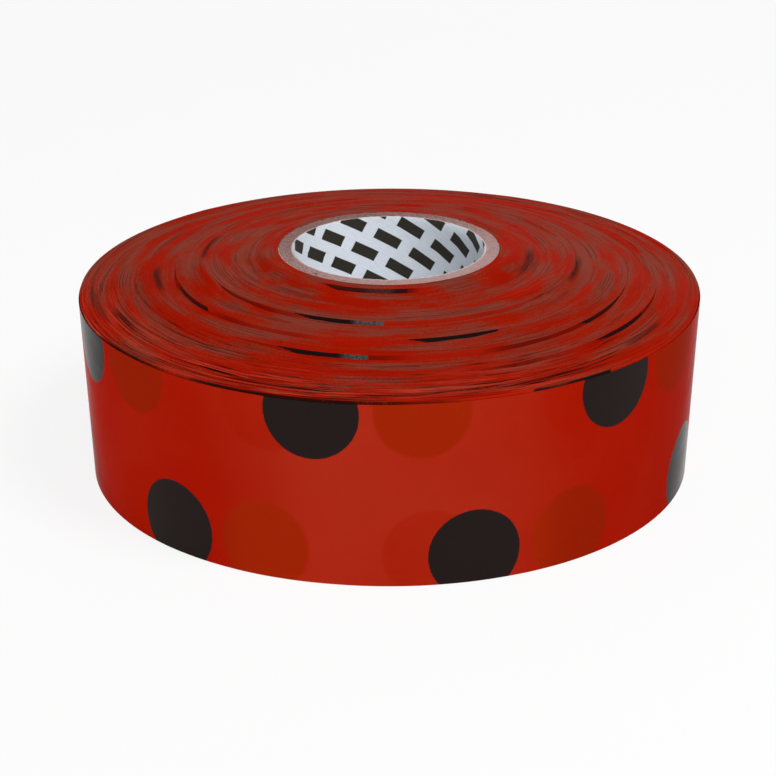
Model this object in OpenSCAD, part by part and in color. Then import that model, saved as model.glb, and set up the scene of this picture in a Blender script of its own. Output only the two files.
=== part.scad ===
// Roll of surveyor's flagging tape: one long plastic film wound on a spiral-wound paperboard core.
// +Z is the roll's axis and the origin is the centre of its base. The turns have slid on each other,
// so both end faces rise from the outer rim to the core in small steps.

/* [Tape] */
// Width of the film, which is the height of the outer wall
tape_w = 30; // [20:0.5:50]
// Thickness of the film
film_t = 0.076; // [0.05:0.002:0.15]
// Outer diameter of the roll at its upper rim
roll_d = 101.6; // [80:0.2:140]
// How much wider the upper rim is than the base, on the radius
wall_taper = 1.2; // [0:0.1:3]

/* [End faces] */
// Height of the core over the outer rim
face_rise = 6.7; // [5:0.1:10]
// Drop at each step of the wound edges
step_drop = 0.7; // [0.2:0.05:0.8]

/* [Outer turn] */
// Free space between the outer turn and the film that lies over it
turn_gap = 0.42; // [0.41:0.01:1]
// Running space between the wound body and what touches it
wrap_gap = 0.05; // [0.02:0.01:0.2]
// Height by which the outer turn and the free end ride above the rim
turn_wander = 0.2; // [0.1:0.05:1]
// Direction of the line where the free end leaves the roll, from +X
peel_at = 70; // [0:1:359]
// Length of the free end along the film
free_len = 36; // [15:1:80]

/* [Core] */
// Bore of the core
bore_d = 31.3; // [25:0.1:50]
// Thickness of the white liner paper
liner_t = 0.25; // [0.1:0.05:0.5]
// Thickness of one board ply
ply_t = 0.5; // [0.3:0.05:0.8]
// Thickness of the glue between two plies
glue_t = 0.02; // [0.01:0.01:0.1]
// Angle of the plies' winding, up from level
ply_angle = 30; // [20:1:50]
// Butt gap between two edges of one ply
seam_gap = 0.3; // [0.2:0.05:1]

/* [Starting strip] */
// Width of the adhesive strip that holds the film's inner end, around the core
strip_w = 12; // [6:1:25]
// Thickness of the adhesive strip
strip_t = 0.1; // [0.05:0.01:0.2]
// Direction of the middle of the adhesive strip, from +X
strip_at = 200; // [0:1:359]

/* [Hidden] */
$fn = 96;

board_plies = 4;
ply_seams = [40, 165, 290, 55, 180];
seam_piece = 30;
over = 1;

film_red = [0.66, 0.09, 0.05];
liner_white = [0.90, 0.92, 0.95];
board_tan = [0.66, 0.53, 0.48];
strip_clear = [0.85, 0.82, 0.70];

// Places of the steps on the end faces, as shares of the wound depth from the core to the rim
step_at = [0.06, 0.36, 0.51, 0.63, 0.78, 0.92];
last_step = step_at[len(step_at) - 1];
slope_fall = face_rise - len(step_at) * step_drop;

bore_r = bore_d / 2;
core_r = ply_in(board_plies) + ply_t;
core_len = tape_w;
core_base = face_rise;

turn_step = film_t + turn_gap;
winding_in = core_r + wrap_gap;
turn_in = roll_d / 2 - turn_step / 2 - film_t;
winding_out = turn_in - wrap_gap;
free_deg = free_len / turn_in * 180 / PI;

// Inner radius of ply i, where ply 0 is the liner
function ply_in(i) = bore_r + (i == 0 ? 0 : liner_t + glue_t + (i - 1) * (ply_t + glue_t));

// Radius at height z of a wall that is r wide at the upper rim and tapers to the base
function wall_r(r, z) = r - wall_taper * (1 - z / tape_w);

// How far the wound edges have dropped at a share u of the wound depth, after the steps in number n
function face_fall(u, n) = slope_fall * min(u, last_step) / last_step + n * step_drop;

// Radius of a share u of the wound depth on the upper face and on the lower face
function upper_r(u) = winding_in + u * (winding_out - winding_in);
function lower_r(u) = winding_in + u * (winding_out - wall_taper - winding_in);

// Shares and step counts of the corners of the stepped face, from the core outwards
face_corners = concat([[0, 0]],
    [for (k = [0 : len(step_at) - 1], passed = [0, 1]) [step_at[k], k + passed]],
    [[1, len(step_at)]]);
upper_face = [for (c = face_corners) [upper_r(c[0]), tape_w + face_rise - face_fall(c[0], c[1])]];
lower_face = [for (c = face_corners) [lower_r(c[0]), face_rise - face_fall(c[0], c[1])]];

// The film's outer end follows half circles: each half turn's centre moves out by half a step
function turn_centre(half) = half % 2 == 0 ? 0 : turn_step / 2;
function turn_radius(half) = turn_in + half * turn_step / 2;
function film_point(a) =
    let (half = floor(a / 180), r = turn_radius(half) + film_t / 2, c = turn_centre(half))
    [c + r * cos(a), r * sin(a)];

// Least gap of the outer turn and the free end to themselves, measured on points along the film
gap_angles = [0 : 4 : 360 + free_deg];
self_gaps = [for (a = gap_angles, b = gap_angles) if (b - a > 180)
    norm(film_point(a) - film_point(b)) - film_t];
film_length = PI * (pow(winding_out - wall_taper / 2, 2) - pow(winding_in, 2)) / film_t;
echo(least_gap_mm = min(self_gaps), film_length_m = film_length / 1000,
     film_turns = round((winding_out - wall_taper / 2 - winding_in) / film_t));

// Turn of ply i's seam from one end of the core to the other, in degrees
function seam_turn(i) = core_len / ((ply_in(i) + ply_t / 2) * tan(ply_angle)) * 180 / PI;

// A spiral slot at ply i, cut as a row of short straight slots that follow the seam
module seam_slot(i, thick) {
    reach = (ply_in(i) + thick + over) * tan(seam_piece / 2) / cos(ply_angle);
    for (a = [-seam_piece : seam_piece : seam_turn(i) + seam_piece])
        rotate(ply_seams[i] + a)
            translate([ply_in(i) + thick / 2, 0, core_base + core_len * a / seam_turn(i)])
                rotate([ply_angle, 0, 0])
                    cube([thick + 2 * over, 2 * reach, seam_gap], center = true);
}

// A tube of the core's height with its spiral butt seam open
module ply(i, thick) {
    difference() {
        translate([0, 0, core_base]) cylinder(h = core_len, r = ply_in(i) + thick);
        translate([0, 0, core_base - over]) cylinder(h = core_len + 2 * over, r = ply_in(i));
        seam_slot(i, thick);
    }
}

module core_liner() {
    color(liner_white) ply(0, liner_t);
}

module core_ply(i) {
    color(board_tan) ply(i, ply_t);
}

// The place of the adhesive strip, grown by a gap on its outer side and its edges
module strip_block(gap) {
    half_deg = (strip_w / 2 + gap) / core_r * 180 / PI;
    translate([0, 0, core_base])
        rotate(strip_at - half_deg)
            rotate_extrude(angle = 2 * half_deg)
                translate([core_r, 0]) square([strip_t + gap, core_len]);
}

module start_strip() {
    color(strip_clear) strip_block(0);
}

module tape_winding() {
    color(film_red)
        difference() {
            rotate_extrude()
                polygon(concat(upper_face, [for (k = [len(lower_face) - 1 : -1 : 0]) lower_face[k]]));
            strip_block(wrap_gap);
        }
}

// One stretch of the film's outer end within half turn number half, from angle a to angle b
module film_arc(half, a, b) {
    low = turn_wander;
    high = tape_w + turn_wander;
    r = turn_radius(half);
    rotate(peel_at)
        translate([turn_centre(half), 0, 0])
            rotate(a)
                rotate_extrude(angle = b - a)
                    polygon([[wall_r(r, low), low], [wall_r(r, low) + film_t, low],
                             [wall_r(r, high) + film_t, high], [wall_r(r, high), high]]);
}

module tape_outer_turn() {
    color(film_red) {
        film_arc(0, 0, 180);
        film_arc(1, 180, 360);
    }
}

module tape_free_end() {
    color(film_red) film_arc(2, 0, free_deg);
}

core_liner();
core_ply(1);  // core_ply_1
core_ply(2);  // core_ply_2
core_ply(3);  // core_ply_3
core_ply(4);  // core_ply_4
start_strip();
tape_winding();
tape_outer_turn();
tape_free_end();
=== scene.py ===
"""Looks of a roll of polka-dot flagging tape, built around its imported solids.

The roll is one translucent red film wound on a spiral paperboard core. Its turns have slid along the axis,
so the wound edges rise in steps to the core. Objects are in metres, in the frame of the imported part: +Z is
the core's axis and -Y is the side that the photo shows. Sizes in the classes below are in millimetres and
angles in degrees, unless their notes say otherwise. Bearings count from +X towards +Y.
"""

import logging
import math
import operator
from dataclasses import dataclass, field
from enum import Enum
from functools import reduce
from typing import Iterable, Optional, Sequence, Union

import bmesh
import bpy
import numpy as np
from mathutils import Euler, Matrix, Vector


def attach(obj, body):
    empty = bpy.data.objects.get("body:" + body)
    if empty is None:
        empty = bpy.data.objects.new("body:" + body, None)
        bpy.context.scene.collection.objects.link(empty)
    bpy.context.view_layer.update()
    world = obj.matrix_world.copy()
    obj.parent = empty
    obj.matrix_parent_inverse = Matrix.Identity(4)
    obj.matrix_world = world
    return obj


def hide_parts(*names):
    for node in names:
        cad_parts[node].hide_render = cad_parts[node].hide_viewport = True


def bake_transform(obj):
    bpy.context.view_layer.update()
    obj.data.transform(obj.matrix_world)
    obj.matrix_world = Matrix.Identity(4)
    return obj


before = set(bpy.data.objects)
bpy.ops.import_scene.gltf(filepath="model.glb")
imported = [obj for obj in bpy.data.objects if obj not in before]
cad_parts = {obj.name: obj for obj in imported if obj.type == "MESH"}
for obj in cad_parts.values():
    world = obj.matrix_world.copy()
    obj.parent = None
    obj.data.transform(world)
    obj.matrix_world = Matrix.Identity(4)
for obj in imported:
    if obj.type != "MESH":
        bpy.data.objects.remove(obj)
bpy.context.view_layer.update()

MM = 0.001
FULL_TURN = 2 * math.pi

# Levels between which most of a noise lies
MOST_NOISE = (0.3, 0.7)

# Sizes that several pieces share
TAPE_W = 30.0
CORE_RISE = 6.7
BORE_R = 15.65
WALL_TAPER = 1.2
TURN_STEP = 0.16
PEEL_AT = 70.0

log = logging.getLogger("flagging_tape")

Number = Union[int, float, "Field"]
Colour = tuple[float, float, float]
Point = tuple[float, float, float]
Span = tuple[float, float]


class Body(str, Enum):
    """The rigid bodies that pieces ride on."""

    ROLL = "roll"
    FREE_END = "free_end"


class Domain(str, Enum):
    """The parts of a mesh that carry a number."""

    POINT = "POINT"
    FACE = "FACE"


def srgb(red: int, green: int, blue: int) -> Colour:
    """Turns a display colour into the linear colour that a shader takes.

    Args:
        red: Red, from 0 to 255.
        green: Green, from 0 to 255.
        blue: Blue, from 0 to 255.

    Returns:
        The same colour in linear light.
    """
    shares = (value / 255 for value in (red, green, blue))
    return tuple(s / 12.92 if s <= 0.04045 else ((s + 0.055) / 1.055) ** 2.4 for s in shares)


class Field:
    """A value that a node tree works out for each point, with the signs of arithmetic."""

    def __init__(self, tree: bpy.types.NodeTree, socket: bpy.types.NodeSocket) -> None:
        """Keeps the tree and the output that gives the value."""
        self.tree = tree
        self.socket = socket

    def _math(self, operation: str, *others: Number) -> "Field":
        """Adds one Math node on this value and up to two others.

        Args:
            operation: Blender's name of the operation.
            *others: The node's other inputs, in order.

        Returns:
            What the node gives.
        """
        node = self.tree.nodes.new("ShaderNodeMath")
        node.operation = operation
        for place, value in enumerate((self, *others)):
            feed(self.tree, node.inputs[place], value)
        return Field(self.tree, node.outputs[0])

    def __add__(self, other: Number) -> "Field":
        """Sum."""
        return self._math("ADD", other)

    def __sub__(self, other: Number) -> "Field":
        """Difference."""
        return self._math("SUBTRACT", other)

    def __mul__(self, other: Number) -> "Field":
        """Product."""
        return self._math("MULTIPLY", other)

    def __truediv__(self, other: Number) -> "Field":
        """Quotient."""
        return self._math("DIVIDE", other)

    def below(self, other: Number) -> "Field":
        """1 where this value is below the other, else 0."""
        return self._math("LESS_THAN", other)

    def reached(self, other: Number) -> "Field":
        """1 where this value is at the other or above it, else 0."""
        return self.below(other) * -1.0 + 1.0

    def least(self, other: Number) -> "Field":
        """The lower of the two values."""
        return self._math("MINIMUM", other)

    def between(self, low: Number, high: Number) -> "Field":
        """The value, held between two limits."""
        return self._math("MAXIMUM", low)._math("MINIMUM", high)

    def floor(self) -> "Field":
        """The whole number at or below the value."""
        return self._math("FLOOR")

    def remainder(self, period: Number) -> "Field":
        """What is left over the last whole period, never negative."""
        return self._math("FLOORED_MODULO", period)

    def wrap(self, period: float) -> "Field":
        """The signed distance to the nearest multiple of the period."""
        return (self + period / 2).remainder(period) - period / 2

    def size(self) -> "Field":
        """The value without its sign."""
        return self._math("ABSOLUTE")

    def sine(self) -> "Field":
        """Sine of an angle in radians."""
        return self._math("SINE")

    def cosine(self) -> "Field":
        """Cosine of an angle in radians."""
        return self._math("COSINE")

    def bearing(self, other: "Field") -> "Field":
        """Angle, in radians, of a point with this height and the other reach."""
        return self._math("ARCTAN2", other)

    def hypot(self, other: "Field") -> "Field":
        """Length over two legs."""
        return (self * self + other * other)._math("SQRT")

    def ramp(self, start: Number, end: Number, low: Number = 0.0, high: Number = 1.0) -> "Field":
        """A smooth step over this value.

        Args:
            start: The value at which the step begins.
            end: The value at which it ends.
            low: What it gives up to its start.
            high: What it gives from its end on.

        Returns:
            The step, from low to high.
        """
        node = self.tree.nodes.new("ShaderNodeMapRange")
        node.interpolation_type = "SMOOTHSTEP"
        for place, value in enumerate((self, start, end, low, high)):
            feed(self.tree, node.inputs[place], value)
        return Field(self.tree, node.outputs[0])

    def stretched(self, low: float = 0.0, high: float = 1.0) -> "Field":
        """A noise, stretched so that most of it runs from low to high."""
        return self.ramp(*MOST_NOISE, low, high)


def feed(tree: bpy.types.NodeTree, socket: bpy.types.NodeSocket, value: object) -> None:
    """Gives an input a field's output or a plain value.

    Args:
        tree: The tree that holds the input.
        socket: The input.
        value: A field, a number, a colour of three parts or any other value that the input takes.
    """
    if isinstance(value, Field):
        tree.links.new(value.socket, socket)
    elif socket.type == "RGBA" and len(value) == 3:
        socket.default_value = (*value, 1.0)
    else:
        socket.default_value = value


def add_node(tree: bpy.types.NodeTree, kind: str, output: int = 0, **inputs: object) -> Field:
    """Adds a node and fills its inputs.

    Args:
        tree: The tree that gets the node.
        kind: Blender's name of the node type.
        output: Number of the output that is returned.
        **inputs: Inputs by name, with _ for a space. A name in lower case sets a property of the node.

    Returns:
        The chosen output.
    """
    node = tree.nodes.new(kind)
    for name in sorted(inputs, key=lambda text: not text[0].islower()):
        if name[0].islower():
            setattr(node, name, inputs[name])
        else:
            socket = next(s for s in node.inputs if s.name == name.replace("_", " ") and s.enabled)
            feed(tree, socket, inputs[name])
    return Field(tree, node.outputs[output])


def combine(x: Number, y: Number, z: Number) -> Field:
    """A vector of three values, one of which is a field."""
    tree = next(v.tree for v in (x, y, z) if isinstance(v, Field))
    return add_node(tree, "ShaderNodeCombineXYZ", X=x, Y=y, Z=z)


def split(vector: Field) -> tuple[Field, Field, Field]:
    """Takes a vector apart.

    Args:
        vector: The vector.

    Returns:
        Its three parts.
    """
    node = vector.tree.nodes.new("ShaderNodeSeparateXYZ")
    vector.tree.links.new(vector.socket, node.inputs[0])
    return tuple(Field(vector.tree, out) for out in node.outputs)


def total(parts: Iterable[Field]) -> Field:
    """The sum of several values."""
    return reduce(operator.add, parts)


def noise(vector: Field, scale: float = 1.0, detail: float = 2.0, seed: float = 0.0,
          rough: float = 0.5) -> Field:
    """Smooth noise around one half.

    Args:
        vector: Where the noise is read.
        scale: How many features fit in one unit.
        detail: Number of finer octaves.
        seed: A fixed number that picks one noise among many.
        rough: Strength of the finer octaves.

    Returns:
        The noise, from 0 to 1.
    """
    return add_node(vector.tree, "ShaderNodeTexNoise", noise_dimensions="4D", Vector=vector, W=seed,
                    Scale=scale, Detail=detail, Roughness=rough)


def mix(share: Field, first: object, second: object) -> Field:
    """A colour between two colours.

    Args:
        share: 0 gives the first colour and 1 the second.
        first: A colour or a field.
        second: A colour or a field.

    Returns:
        The mixed colour.
    """
    node = share.tree.nodes.new("ShaderNodeMix")
    node.data_type = "RGBA"
    for place, value in ((0, share), (6, first), (7, second)):
        feed(share.tree, node.inputs[place], value)
    return Field(share.tree, node.outputs[2])


def seen_rays(tree: bpy.types.NodeTree) -> Field:
    """Tells the rays that are seen from those that only light.

    Args:
        tree: The tree that gets the nodes.

    Returns:
        1 for rays from the camera, mirrors and clear pieces, else 0.
    """
    node = tree.nodes.new("ShaderNodeLightPath")
    camera, glossy, clear = (Field(tree, node.outputs[name])
                             for name in ("Is Camera Ray", "Is Glossy Ray", "Is Transmission Ray"))
    return (camera + glossy + clear).between(0.0, 1.0)


@dataclass(frozen=True)
class Streaks:
    """Noise that is drawn out along the turns of the roll.

    Attributes:
        across: How fast it changes from turn to turn.
        around: How often it changes around the roll.
        seed: A fixed number that picks one noise among many.
        detail: Number of finer octaves.
        rough: Strength of the finer octaves.
    """

    across: float
    around: float
    seed: float
    detail: float = 2.0
    rough: float = 0.5

    def at(self, depth: Field, angle: Field, shift: float = 0.0) -> Field:
        """The noise, from 0 to 1, at a depth in the roll and a bearing in radians, its seed shifted."""
        spot = combine(depth * self.across, angle.cosine() * self.around, angle.sine() * self.around)
        return noise(spot, detail=self.detail, seed=self.seed + shift, rough=self.rough)


@dataclass(frozen=True)
class Grain:
    """Noise that is alike in every direction.

    Attributes:
        scale: How many features fit in one unit.
        seed: A fixed number that picks one noise among many.
        detail: Number of finer octaves.
        rough: Strength of the finer octaves.
    """

    scale: float
    seed: float
    detail: float = 2.0
    rough: float = 0.5

    def at(self, point: Field, shift: float = 0.0) -> Field:
        """The noise, from 0 to 1, at a point, with a shift of its seed."""
        return noise(point, self.scale, self.detail, self.seed + shift, self.rough)


@dataclass(frozen=True)
class Strands:
    """Noise that is drawn out along a strip.

    Attributes:
        along: How many features fit in a millimetre along the strip.
        across: How many fit in a millimetre across it.
        seed: A fixed number that picks one noise among many.
    """

    along: float
    across: float
    seed: float

    def at(self, along: Field, across: Field) -> Field:
        """The noise, from 0 to 1, at a place on the strip."""
        return noise(combine(along * self.along, across * self.across, 0.0), seed=self.seed)


@dataclass(frozen=True)
class Sector:
    """A stretch around the roll with soft ends.

    Attributes:
        centre: Bearing of its middle.
        reach: How far it goes to each side of its middle at full strength.
        fade: How much further it takes to fall to nothing.
    """

    centre: float
    reach: float
    fade: float

    def at(self, angle: Field) -> Field:
        """1 within the sector and 0 past its fade, at a bearing in radians."""
        inside, outside = (math.cos(math.radians(turned)) for turned in (self.reach, self.reach + self.fade))
        return (angle - math.radians(self.centre)).cosine().ramp(outside, inside)


@dataclass(frozen=True)
class Spiral:
    """The spiral that the wound film's upper edge follows.

    Attributes:
        inner_r: Radius at the core.
        outer_r: Radius at the rim.
        turns: Number of turns that are drawn, which stand for a few turns of film each.
        start: Bearing of both ends.
    """

    inner_r: float = 18.03
    outer_r: float = 50.38
    turns: int = 150
    start: float = PEEL_AT

    def film_length(self, turns: Number) -> Number:
        """Length of the spiral up to a number of turns from the core."""
        pitch = (self.outer_r - self.inner_r) / self.turns
        return (turns * self.inner_r + turns * turns * (pitch / 2)) * FULL_TURN


class Finish:
    """A finish whose material is made once, on first use."""

    title = "finish"
    slot = ""

    def material(self) -> bpy.types.Material:
        """Makes the finish's material, or finds it if it is made.

        Returns:
            The material.
        """
        known = bpy.data.materials.get(self.title)
        if known is None:
            known = bpy.data.materials.new(self.title)
            known.use_nodes = True
            self.paint(known.node_tree, known.node_tree.nodes["Principled BSDF"])
        return known

    def paint(self, tree: bpy.types.NodeTree, shader: bpy.types.Node) -> None:
        """Adds the finish's nodes.

        Args:
            tree: The material's tree.
            shader: Its surface shader.
        """
        raise NotImplementedError

    @staticmethod
    def surface(shader: bpy.types.Node, tree: bpy.types.NodeTree, **inputs: object) -> None:
        """Fills the surface shader's inputs, by name with _ for a space."""
        for name, value in inputs.items():
            feed(tree, shader.inputs[name.replace("_", " ")], value)

    @staticmethod
    def bump(height: Field, depth: float) -> Field:
        """A normal bumped by a height of 0 to 1 that stands for depth millimetres."""
        return add_node(height.tree, "ShaderNodeBump", Height=height, Distance=depth * MM, Strength=1.0)

    @staticmethod
    def place(tree: bpy.types.NodeTree) -> Field:
        """The point on the object, in millimetres."""
        point = add_node(tree, "ShaderNodeTexCoord", output=3)
        return add_node(tree, "ShaderNodeVectorMath", operation="SCALE", Vector=point, Scale=1 / MM)

    @staticmethod
    def carried(tree: bpy.types.NodeTree, name: str) -> Field:
        """A number that the mesh carries under a name."""
        return add_node(tree, "ShaderNodeAttribute", output=2, attribute_name=name)


@dataclass(frozen=True)
class Dots:
    """The polka dots on the film: two rows, staggered by half a pitch.

    Attributes:
        pitch: Length along the film from one dot of a row to the next.
        radius: Radius of a dot.
        upper_row: Height of the upper row's middle over the film's lower edge.
        lower_row: Height of the lower row's middle.
        upper_phase: Length along the film from the middle of the front to a dot of the upper row.
        lower_phase: Length along the film from the middle of the front to a dot of the lower row.
    """

    pitch: float = 49.8
    radius: float = 7.35
    upper_row: float = 28.1
    lower_row: float = 4.75
    upper_phase: float = -11.8
    lower_phase: float = 13.2

    def edge(self, along: Field, across: Field, shift: float = 0.0, lift: float = 0.0) -> Field:
        """Distance from a point on the film to the nearest dot's edge, negative inside the dot.

        Args:
            along: Length along the film from the middle of the front.
            across: Height over the film's lower edge.
            shift: How far along the film this layer's dots lie from the outer layer's.
            lift: How much higher this layer's dots lie.

        Returns:
            The distance in millimetres.
        """
        rows = [(along - (phase + shift)).wrap(self.pitch).hypot(across - (height + lift))
                for phase, height in ((self.upper_phase, self.upper_row), (self.lower_phase, self.lower_row))]
        return rows[0].least(rows[1]) - self.radius


@dataclass(frozen=True)
class FilmFinish(Finish):
    """Glossy translucent red film with black dots, through which the dots of the next layers show.

    Attributes:
        sheened_dot: Colour of the next layer's dots under the painted sheen.
        far_dot: Their colour away from the painted sheen.
        deep_dot: Colour of the third layer's dots.
        next_layer: How far along the film the next layer's dots lie from the outer layer's.
        third_layer: How far along the film the third layer's dots lie.
        layer_lift: How much higher both layers' dots lie.
        next_shows: How strongly the next layer's dots show.
        third_shows: How strongly the third layer's dots show.
        sheened_dot_from: Strengths of the painted sheen between which the next layer's dots change colour.
        ink_edge: Half the width of the ink's edge.
        blur: Half the width of the edge of a dot that shows through.
        sheen_step: Length along the film from one stretch of painted sheen to the next.
        sheen_from: Cosines between which a stretch takes the painted sheen.
        sheen_most: How strong the painted sheen gets.
        clouding: How much clouds in the film add to the share of the paler red.
        ragged: How far coarse and fine grain move the ink's edge.
        film_shine: Specular level of the bare film.
        ink_shine: Specular level of the ink.
        roughness: Least and greatest roughness.
        slack_depth: Depth of the film's slack.
        grain_depth: Depth of its grain, as a share of that.
    """

    title: str = "dotted_film"
    slot: str = "tape_film"
    dots: Dots = Dots()
    red: Colour = srgb(158, 19, 3)
    # The next colour is the paler red of the film's clouds and of its painted sheen.
    cloud_and_sheen_red: Colour = srgb(167, 41, 22)
    black: Colour = srgb(35, 27, 26)
    sheened_dot: Colour = srgb(154, 35, 6)
    far_dot: Colour = srgb(142, 29, 5)
    deep_dot: Colour = srgb(158, 21, 0)
    cloud: Grain = Grain(0.045, seed=3.1, detail=3.0)
    coarse: Grain = Grain(2.2, seed=5.5)
    grain: Grain = Grain(9.0, seed=7.7)
    slack: Strands = Strands(0.05, 0.12, seed=1.3)
    next_layer: float = 16.7
    third_layer: float = -7.0
    layer_lift: float = 0.5
    next_shows: float = 0.95
    third_shows: float = 0.4
    sheened_dot_from: Span = (0.0, 0.3)
    ink_edge: float = 0.06
    blur: float = 0.35
    sheen_step: float = 104.0
    sheen_from: Span = (-0.4, 1.0)
    sheen_most: float = 0.75
    clouding: float = 0.3
    ragged: Span = (0.16, 0.2)
    film_shine: float = 0.0008
    ink_shine: float = 0.018
    roughness: Span = (0.16, 0.22)
    slack_depth: float = 0.25
    grain_depth: float = 0.02

    def under_layer(self, along: Field, across: Field, shift: float) -> Field:
        """1 where a dot of a layer below shows through, else 0."""
        return self.dots.edge(along, across, shift, self.layer_lift).ramp(self.blur, -self.blur)

    def paint(self, tree: bpy.types.NodeTree, shader: bpy.types.Node) -> None:
        """Paints the layers from the innermost to the outermost.

        Args:
            tree: The material's tree.
            shader: Its surface shader.
        """
        point = self.place(tree)
        along = self.carried(tree, "along")
        across = self.carried(tree, "across")
        grain = self.grain.at(point)
        # Painted sheen: lighter stretches that repeat along the film, the lightest at the middle of the
        # front.
        painted_sheen = (along * (FULL_TURN / self.sheen_step)).cosine().ramp(*self.sheen_from, 0.0, self.sheen_most)
        clouds = self.cloud.at(point).stretched() * self.clouding
        colour = mix(painted_sheen + clouds, self.red, self.cloud_and_sheen_red)
        deep = self.under_layer(along, across, self.third_layer)
        colour = mix(deep * self.third_shows, colour, self.deep_dot)
        under = self.under_layer(along, across, self.next_layer)
        # The next layer's dots are lighter under the painted sheen.
        sheened_dot = mix(painted_sheen.ramp(*self.sheened_dot_from), self.far_dot, self.sheened_dot)
        colour = mix(under * self.next_shows, colour, sheened_dot)
        rag = (self.coarse.at(point) - 0.5) * self.ragged[0] + (grain - 0.5) * self.ragged[1]
        ink = (self.dots.edge(along, across) + rag).ramp(self.ink_edge, -self.ink_edge)
        colour = mix(ink, colour, self.black)
        shine = ink * (self.ink_shine - self.film_shine) + self.film_shine
        relief = self.slack.at(along, across) + grain * self.grain_depth
        self.surface(shader, tree, Base_Color=colour, Roughness=grain.stretched(*self.roughness),
                     Specular_IOR_Level=shine, Normal=self.bump(relief, self.slack_depth))


@dataclass(frozen=True)
class WoundFace:
    """What the wound edges' finish reads at a point of the wound face.

    Attributes:
        radius: Distance from the core's axis.
        angle: Bearing, in radians.
        arc: Length along the film from the middle of the nearest dot.
        ink: 1 where a dot reaches the film's edge, else 0.
        riser: 1 on film that a step bares, 0 on the film's edges.
        height: 1 at the top of a riser and 0 at its foot.
        speck: Grain.
        fine: Thin streaks.
        streak: Streaks a few turns wide.
        broad: Wide patches.
        ring: Single turns.
        near: 1 on the front of the roll, where its turns are looser, else 0.
        frayed: The same, at the rim alone.
        tone: How dull the film's edges are.
    """

    radius: Field
    angle: Field
    arc: Field
    ink: Field
    riser: Field
    height: Field
    speck: Field
    fine: Field
    streak: Field
    broad: Field
    ring: Field
    near: Field
    frayed: Field
    tone: Field


@dataclass(frozen=True)
class Patches:
    """Patches on the wound face, cut from a blend of what is read there.

    Attributes:
        cut: Levels of the blend between which a patch begins and is full.
        least: Strength outside the patches.
        most: Strength inside them.
        fine: Share of the thin streaks in the blend.
        speck: Share of the grain.
        streak: Share of the wider streaks.
        ring: Share of the single turns.
        tone: Share of the tone.
    """

    cut: Span
    least: float = 0.0
    most: float = 1.0
    fine: float = 0.0
    speck: float = 0.0
    streak: float = 0.0
    ring: float = 0.0
    tone: float = 0.0

    def at(self, face: WoundFace) -> Field:
        """Blends what is read and cuts the patches from it.

        Args:
            face: The point of the wound face.

        Returns:
            Strength of the patches there.
        """
        shares = ((face.fine, self.fine), (face.speck, self.speck), (face.streak, self.streak),
                  (face.ring, self.ring), (face.tone, self.tone))
        return total(part * share for part, share in shares if share).ramp(*self.cut, self.least, self.most)


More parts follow.
